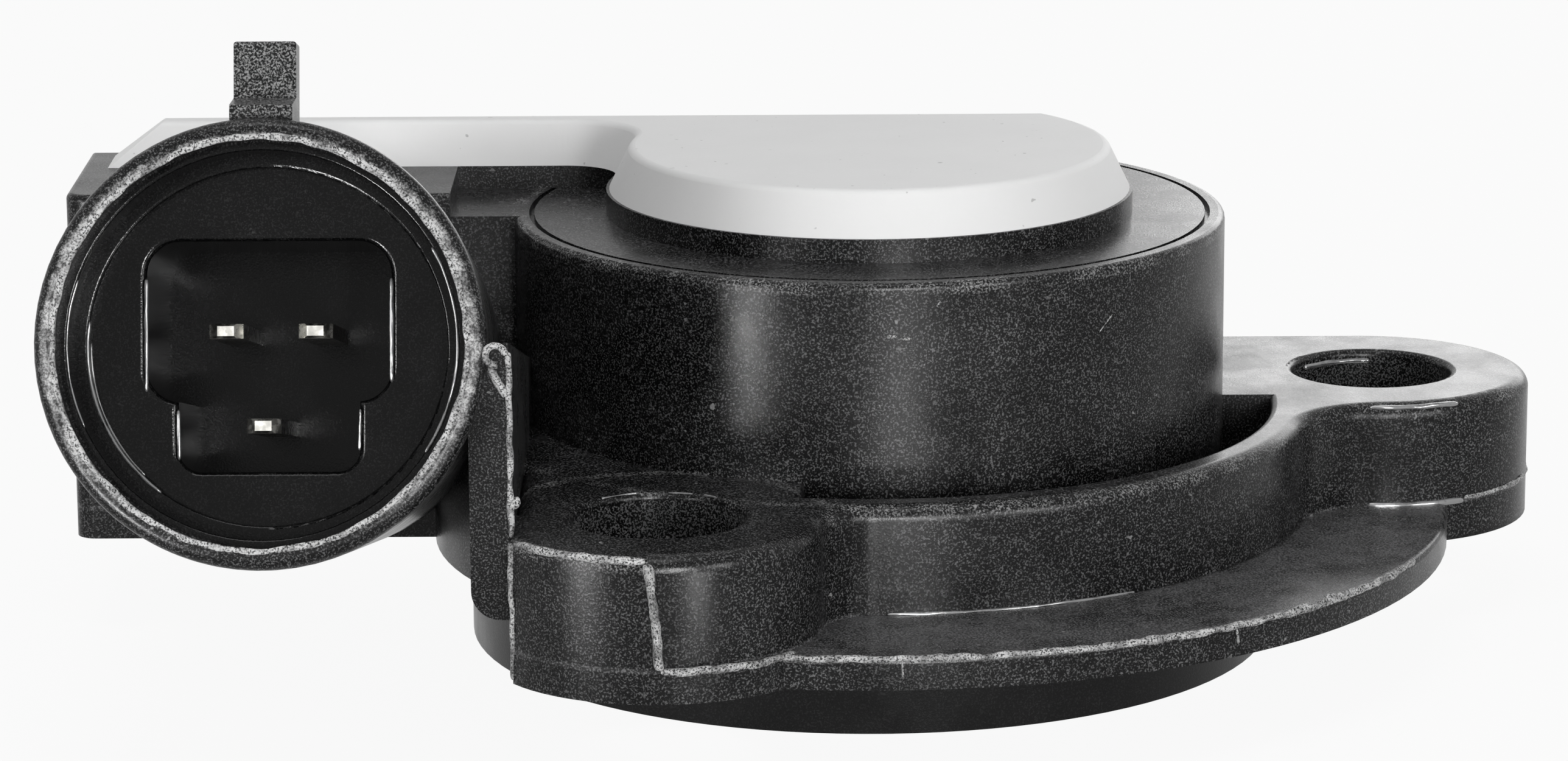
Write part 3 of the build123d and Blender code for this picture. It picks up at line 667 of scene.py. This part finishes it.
class SENSOR_OT_socket_edges(Operator):
    """Model the polished edges of the socket's steps and pocket"""

    bl_idname = "sensor.socket_edges"
    bl_label = "Socket edges"

    def execute(self, context):
        floor = socket_floor
        edges = [
            arc_flash("left_shroud", rotor_axis, shroud_r, -1.4, 160.0, 205.0, 0.12, 51, 0.5),
            arc_flash("left_step", rotor_axis, 7.94, -3.98, 171.0, 234.0, 0.2, 52, 0.4),
            arc_flash("left_foot", rotor_axis, 7.86, floor, 178.0, 226.0, 0.13, 53, 0.4),
            arc_flash("right_shroud", rotor_axis, shroud_r, -1.4, -34.0, 30.0, 0.17, 54, 0.4),
            straight_flash("pocket_left", (-5.42, 3.1, floor), (-5.42, -2.0, floor), 0.22, 55, 0.4),
            straight_flash("pocket_right", (5.42, 3.1, floor), (5.42, -1.6, floor), 0.25, 56, 0.4),
            straight_flash("foot_left", (-4.02, -2.7, floor), (-3.98, -5.0, floor), 0.22, 57, 0.4),
            straight_flash("foot_right", (4.02, -2.7, floor), (3.98, -4.6, floor), 0.17, 58, 0.4),
        ]
        for edge in edges:
            edge.rotation_euler = (socket_lean, 0.0, 0.0)
            edge.location = socket_mouth * MM
            bpy.ops.object.select_all(action="DESELECT")
            edge.select_set(True)
            context.view_layer.objects.active = edge
            bpy.ops.object.transform_apply(location=True, rotation=True, scale=True)
        join_flash("socket_edges", edges, "polished_edge")
        return {"FINISHED"}


class SENSOR_OT_hole_burrs(Operator):
    """Model the burrs on the far edges of the ears' holes"""

    bl_idname = "sensor.hole_burrs"
    bl_label = "Hole burrs"

    def execute(self, context):
        join_flash(
            "hole_burrs",
            [
                arc_flash("burr_left", first_ear, burr_r, ear_z - 0.03, 104.0, 132.0, 0.13, 61),
                arc_flash("burr_middle", first_ear, burr_r, ear_z - 0.03, 68.0, 86.0, 0.11, 62),
                arc_flash("burr_right", first_ear, burr_r, ear_z - 0.03, 50.0, 62.0, 0.12, 63),
                arc_flash("burr_second", second_ear, hole_r, ear_z - 0.55, 84.0, 143.0, 0.34, 64, 0.4),
            ],
            "polished_edge",
        )
        return {"FINISHED"}


class SENSOR_OT_web_flash(Operator):
    """Model the flash down the web's edge, with its curl at the top"""

    bl_idname = "sensor.web_flash"
    bl_label = "Web flash"

    def execute(self, context):
        width = context.scene.sensor_flash.width
        corner = (web_right, first_ear_corner_y)
        edge = (web_right, web_front)
        curl = start_section("curl", 0.2, (-16.2, -26.25, 19.35), (0.0, 0.0, 0.0))
        bpy.ops.mesh.spin(
            steps=14, angle=math.radians(285.0), center=curl_axis * MM, axis=depth_axis
        )
        roughen(11, 0.05)
        join_flash(
            "web_flash",
            [
                curl,
                straight_flash("ear_corner", (*corner, plate_z + 0.1), (*corner, ear_z), 0.9 * width, 12),
                straight_flash("web_edge", (*edge, ear_z), (*edge, web_top - 0.4), 0.8 * width, 13),
                straight_flash("web_tear", (-17.0, -26.15, 18.9), (-16.2, -26.15, 17.4), 1.1 * width, 14),
                straight_flash("web_nub", (-16.1, -26.1, 12.6), (-15.65, -26.0, 12.85), 1.3 * width, 15),
            ],
        )
        return {"FINISHED"}


class SENSOR_OT_rim_flash(Operator):
    """Model the rough flash round the socket's mouth"""

    bl_idname = "sensor.rim_flash"
    bl_label = "Rim flash"

    def execute(self, context):
        bpy.ops.object.select_all(action="DESELECT")
        bpy.ops.mesh.primitive_torus_add(
            major_segments=120, minor_segments=6, major_radius=ring_r * MM, minor_radius=ring_section_r * MM
        )
        ring = context.object
        bpy.ops.object.mode_set(mode="EDIT")
        bpy.ops.mesh.select_all(action="SELECT")
        bpy.ops.transform.resize(value=(1.0, 1.0, 0.4))
        roughen(21, 0.1)
        ring.rotation_euler = (socket_lean, 0.0, 0.0)
        ring.location = socket_mouth * MM
        bpy.ops.object.transform_apply(location=True, rotation=True, scale=True)
        join_flash("rim_flash", [ring])
        return {"FINISHED"}


class SENSOR_OT_scuffs(Operator):
    """Model the raised burrs of the scuffs on the round body"""

    bl_idname = "sensor.scuffs"
    bl_label = "Scuffs"

    def execute(self, context):
        join_flash(
            "scuffs",
            [
                arc_flash("scuff_left", rotor_axis, body_r, 17.95, -88.4, -86.6, 0.16, 31),
                arc_flash("scuff_right", rotor_axis, body_r, 17.85, -86.0, -84.4, 0.13, 32),
                straight_flash("scratch", (10.25, -13.58, 17.3), (10.95, -13.02, 18.1), 0.07, 33),
                straight_flash("fleck", (2.75, -16.79, 19.3), (2.95, -16.76, 19.55), 0.1, 34),
            ],
        )
        return {"FINISHED"}


class SENSOR_OT_cover(Operator):
    """Dress the cover in light grey plastic"""

    bl_idname = "sensor.cover"
    bl_label = "Cover"

    def execute(self, context):
        dress(["cover"], grey_plastic())
        return {"FINISHED"}


class SENSOR_OT_terminals(Operator):
    """Dress the three blades in tinned brass"""

    bl_idname = "sensor.terminals"
    bl_label = "Terminals"

    def execute(self, context):
        blades = ["terminal_supply", "terminal_signal", "terminal_ground"]
        dress(blades, metal("terminal_metal", (0.62, 0.61, 0.57), 0.24, painted_shade_from=blade_tip))
        return {"FINISHED"}


class SENSOR_OT_works(Operator):
    """Dress the rotor, bearing and the pieces inside"""

    bl_idname = "sensor.works"
    bl_label = "Works"

    def execute(self, context):
        dress(["bearing_plate"], moulded("bearing_plastic", (0.03, 0.03, 0.031), 0.45))
        dress(["shaft_seal"], moulded("seal_rubber", (0.012, 0.012, 0.012), 0.7))
        dress(["rotor"], moulded("rotor_plastic", (0.72, 0.7, 0.64), 0.35))
        dress(["thrust_washer", "return_spring"], metal("spring_steel", (0.56, 0.56, 0.57), 0.28))
        dress(["wiper_contact"], metal("contact_bronze", (0.72, 0.53, 0.28), 0.25))
        dress(["element_card"], moulded("card_laminate", (0.3, 0.2, 0.1), 0.4))
        dress(["resistive_track"], moulded("carbon_ink", (0.02, 0.02, 0.02), 0.55))
        dress(["collector_track"], metal("silver_ink", (0.62, 0.62, 0.62), 0.45))
        dress(["solder_joints"], metal("solder", (0.6, 0.6, 0.61), 0.22))
        return {"FINISHED"}


class SENSOR_OT_spring(Operator):
    """Model a merged, smooth-shaded copy of the return spring in place of the packed one"""

    bl_idname = "sensor.spring"
    bl_label = "Return spring"

    def execute(self, context):
        node = frame["nodes"]["return_spring"]
        bpy.ops.object.select_all(action="DESELECT")
        node.select_set(True)
        context.view_layer.objects.active = node
        bpy.ops.object.duplicate()
        coil = context.object
        for key in list(coil.keys()):
            del coil[key]
        bpy.ops.object.parent_clear(type="CLEAR_KEEP_TRANSFORM")
        bpy.ops.object.transform_apply(location=True, rotation=True, scale=True)
        coil.name = "spring_coil"
        coil.data.name = "spring_coil"
        bpy.ops.object.mode_set(mode="EDIT")
        bpy.ops.mesh.select_all(action="SELECT")
        bpy.ops.mesh.remove_doubles(threshold=0.001 * MM)
        bpy.ops.object.mode_set(mode="OBJECT")
        bpy.ops.object.shade_smooth_by_angle(angle=math.radians(50.0))
        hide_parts("return_spring")
        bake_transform(coil)
        return {"FINISHED"}


class SENSOR_OT_stage(Operator):
    """Set the pale floor, the soft lamps and the camera"""

    bl_idname = "sensor.stage"
    bl_label = "Stage"

    def execute(self, context):
        look = context.scene.sensor_stage
        bpy.ops.object.select_all(action="DESELECT")
        bpy.ops.mesh.primitive_plane_add(size=4.0)
        floor = context.object
        floor.name = "floor"
        floor.data.materials.append(pale_floor())
        set_world(context.scene)
        add_lamp("left", (-0.20, -0.21, 0.03), aim, (0.11, 0.05), look.left_power)
        add_lamp("right", (0.19, -0.24, 0.07), aim, (0.06, 0.12), look.right_power)
        add_lamp("front", (0.06, -0.295, 0.02), aim, (0.03, 0.036), look.front_power)
        add_lamp("rim", (0.18, 0.45, 0.14), (0.01, 0.0, 0.012), (0.28, 0.16), look.rim_power)
        add_lamp("top", (-0.04, -0.10, 0.50), aim, (0.24, 0.18), look.top_power)
        add_card("left_card", (-0.20, -0.207, 0.07), (0.03, 0.06), 0.6 * look.card_power)
        add_card("front_card", (0.055, -0.283, 0.06), (0.025, 0.06), 1.4 * look.card_power)
        add_card("right_card", (0.20, -0.225, 0.10), (0.05, 0.06), 0.3 * look.card_power)
        low = add_card("low_card", (-0.062, -0.073, 0.002), (0.016, 0.038), 0.46 * look.card_power)
        low.rotation_euler = (math.pi, 0.0, low_card_turn)
        near = add_card("near_card", (0.0068, -0.059, 0.002), (0.009, 0.014), 0.03 * look.card_power)
        near.rotation_euler = (math.pi, 0.0, 0.0)
        add_camera(look)
        return {"FINISHED"}


def seen_white(tree):
    """1 for the rays that see or mirror the background: camera, glossy and transmission."""
    path = tree.nodes.new("ShaderNodeLightPath")
    either = maths(tree, "MAXIMUM", path.outputs["Is Camera Ray"], path.outputs["Is Glossy Ray"])
    return maths(tree, "MAXIMUM", either, path.outputs["Is Transmission Ray"])


def pale_floor():
    """Pale floor that looks white and keeps a soft shadow."""
    material = bpy.data.materials.new("pale_floor")
    material.use_nodes = True
    tree = material.node_tree
    tree.nodes.clear()
    output = tree.nodes.new("ShaderNodeOutputMaterial")
    paper = tree.nodes.new("ShaderNodeBsdfDiffuse")
    paper.inputs["Color"].default_value = (0.55, 0.55, 0.55, 1.0)
    white = tree.nodes.new("ShaderNodeEmission")
    white.inputs["Strength"].default_value = 1.0
    mix = tree.nodes.new("ShaderNodeMixShader")
    tree.links.new(maths(tree, "MULTIPLY", seen_white(tree), 0.93), mix.inputs["Fac"])
    tree.links.new(paper.outputs["BSDF"], mix.inputs[1])
    tree.links.new(white.outputs["Emission"], mix.inputs[2])
    tree.links.new(mix.outputs["Shader"], output.inputs["Surface"])
    return material


def set_world(scene):
    """Even white surroundings, dimmer as a light than as a background."""
    world = bpy.data.worlds.new("studio")
    world.use_nodes = True
    scene.world = world
    tree = world.node_tree
    background = tree.nodes["Background"]
    background.inputs["Color"].default_value = (1.0, 1.0, 1.0, 1.0)
    strength = remap(tree, seen_white(tree), 0.0, 1.0, 0.35, 1.0, smooth=False)
    tree.links.new(strength, background.inputs["Strength"])
    scene.view_settings.view_transform = "Standard"


def add_lamp(name, place, target, size, power):
    """A rectangular soft lamp that points at a target."""
    bpy.ops.object.select_all(action="DESELECT")
    bpy.ops.object.light_add(type="AREA", location=place)
    lamp = bpy.context.object
    lamp.name = name
    lamp.rotation_euler = (Vector(target) - Vector(place)).to_track_quat("-Z", "Y").to_euler()
    lamp.data.shape = "RECTANGLE"
    lamp.data.size = size[0]
    lamp.data.size_y = size[1]
    lamp.data.energy = power
    lamp.visible_camera = False
    return lamp


def add_card(name, place, size, power):
    """A bright card that only gloss mirrors."""
    card = add_lamp(name, place, aim, size, power)
    card.visible_diffuse = False
    return card


def add_camera(look):
    """The camera at the photograph's view."""
    forward = Vector((0.0, math.cos(look.elevation), -math.sin(look.elevation)))
    right = Vector((1.0, 0.0, 0.0))
    up = right.cross(forward)
    level = Matrix((right, up, -forward)).transposed()
    turn = level @ Matrix.Rotation(look.roll, 3, "Z")
    bpy.ops.object.select_all(action="DESELECT")
    bpy.ops.object.camera_add(location=look.eye)
    camera = bpy.context.object
    camera.rotation_euler = turn.to_euler()
    camera.data.lens = look.lens
    camera.data.sensor_width = 36.0
    camera.data.clip_start = 0.01
    bpy.context.scene.camera = camera


class SENSOR_PT_panel(Panel):
    """Lists the sensor's pieces and looks"""

    bl_idname = "SENSOR_PT_panel"
    bl_label = "Throttle Position Sensor"
    bl_space_type = "VIEW_3D"
    bl_region_type = "UI"
    bl_category = "Sensor"

    def draw(self, context):
        layout = self.layout
        for operator in OPERATORS:
            layout.operator(operator.bl_idname)
        scene = context.scene
        for look in (scene.sensor_plastic, scene.sensor_flash, scene.sensor_cover, scene.sensor_stage):
            box = layout.box()
            for name in look.bl_rna.properties.keys():
                if name not in ("rna_type", "name"):
                    box.prop(look, name)


OPERATORS = (
    SENSOR_OT_housing,
    SENSOR_OT_ear_flash,
    SENSOR_OT_foot_bead,
    SENSOR_OT_socket_edges,
    SENSOR_OT_hole_burrs,
    SENSOR_OT_web_flash,
    SENSOR_OT_rim_flash,
    SENSOR_OT_scuffs,
    SENSOR_OT_cover,
    SENSOR_OT_terminals,
    SENSOR_OT_works,
    SENSOR_OT_spring,
    SENSOR_OT_stage,
)
LOOKS = (PlasticLook, FlashLook, CoverLook, StageLook)


def register():
    for cls in (*LOOKS, *OPERATORS, SENSOR_PT_panel):
        bpy.utils.register_class(cls)
    bpy.types.Scene.sensor_plastic = PointerProperty(type=PlasticLook)
    bpy.types.Scene.sensor_flash = PointerProperty(type=FlashLook)
    bpy.types.Scene.sensor_cover = PointerProperty(type=CoverLook)
    bpy.types.Scene.sensor_stage = PointerProperty(type=StageLook)


def unregister():
    del bpy.types.Scene.sensor_stage
    del bpy.types.Scene.sensor_cover
    del bpy.types.Scene.sensor_flash
    del bpy.types.Scene.sensor_plastic
    for cls in reversed((*LOOKS, *OPERATORS, SENSOR_PT_panel)):
        bpy.utils.unregister_class(cls)


def main():
    register()
    bpy.ops.sensor.housing()
    bpy.ops.sensor.ear_flash()
    bpy.ops.sensor.foot_bead()
    bpy.ops.sensor.socket_edges()
    bpy.ops.sensor.hole_burrs()
    bpy.ops.sensor.web_flash()
    bpy.ops.sensor.rim_flash()
    bpy.ops.sensor.scuffs()
    bpy.ops.sensor.cover()
    bpy.ops.sensor.terminals()
    bpy.ops.sensor.works()
    bpy.ops.sensor.spring()
    bpy.ops.sensor.stage()


if __name__ == "__main__":
    main()
